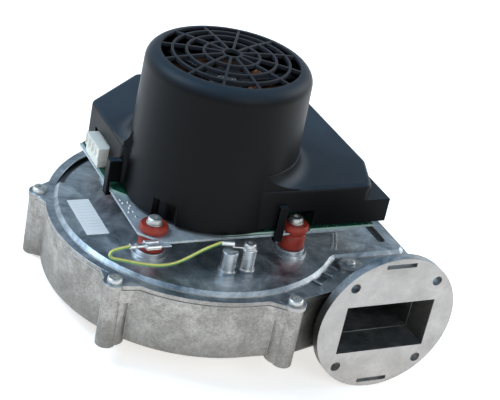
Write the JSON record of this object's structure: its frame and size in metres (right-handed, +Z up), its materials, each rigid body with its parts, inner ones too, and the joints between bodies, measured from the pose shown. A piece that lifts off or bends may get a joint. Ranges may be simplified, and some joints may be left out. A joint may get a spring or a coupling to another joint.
{
  "type": "radial blower",
  "caption": "Radial blower: cast scroll with a round outlet flange, rubber-mounted motor under a black plastic cover with a web grille, earth lead.",
  "frame": {"origin": "centre of the inlet bore, on the flat underside of the cast bowl, on the motor axis", "axes": "+Z up along the motor axis, -Y out of the round outlet flange, which is on the +X side"},
  "size_m": [0.2425, 0.2315, 0.1903],
  "materials": {
    "cast_aluminium": "satin",
    "gasket_sheet": "matt",
    "zinc_steel": "satin",
    "sheet_steel": "satin",
    "board_laminate": "satin",
    "connector_plastic": "satin",
    "bearing_steel": "polished",
    "seal_rubber": "matt",
    "core_steel": "satin",
    "copper_wire": "gloss",
    "impeller_aluminium": "satin",
    "black_plastic": "satin",
    "tinned_brass": "bright",
    "mount_rubber": "matt",
    "lead_insulation": "satin",
    "label_film": "satin"
  },
  "bodies": {
    "housing": {"bearing_carrier": "sheet_steel", "circuit_board": "board_laminate", "duct_plug": "zinc_steel", "earth_lead": "lead_insulation", "earth_receptacle": "tinned_brass", "earth_screw": "zinc_steel", "end_bracket": "sheet_steel", "grommet_1": "mount_rubber", "grommet_2": "mount_rubber", "grommet_3": "mount_rubber", "grommet_4": "mount_rubber", "housing_gasket": "gasket_sheet", "housing_screw_a": "zinc_steel", "housing_screw_b": "zinc_steel", "housing_screw_c": "zinc_steel", "housing_screw_e": "zinc_steel", "housing_screw_f": "zinc_steel", "lower_bearing": "bearing_steel", "lower_housing": "cast_aluminium", "motor_cover": "black_plastic", "motor_plate": "sheet_steel", "mount_screw_1": "zinc_steel", "mount_screw_2": "zinc_steel", "mount_screw_3": "zinc_steel", "mount_screw_4": "zinc_steel", "rating_label": "label_film", "ring_terminal": "tinned_brass", "shaft_seal": "seal_rubber", "signal_connector": "connector_plastic", "sleeve_1": "zinc_steel", "sleeve_2": "zinc_steel", "sleeve_3": "zinc_steel", "sleeve_4": "zinc_steel", "stator_core": "core_steel", "stator_stand_1": "zinc_steel", "stator_stand_2": "zinc_steel", "stator_stand_3": "zinc_steel", "stator_stand_4": "zinc_steel", "stator_windings": "copper_wire", "upper_bearing": "bearing_steel", "upper_housing": "cast_aluminium"},
    "rotor": {"motor_shaft": "bearing_steel", "motor_rotor": "core_steel", "impeller": "impeller_aluminium", "impeller_nut": "zinc_steel"}
  },
  "joints": [
    {"name": "rotor_spin", "type": "hinge", "parent": "housing", "child": "rotor", "pos_m": [0, 0, 0], "axis": [0, 0, 1], "continuous": true}
  ]
}
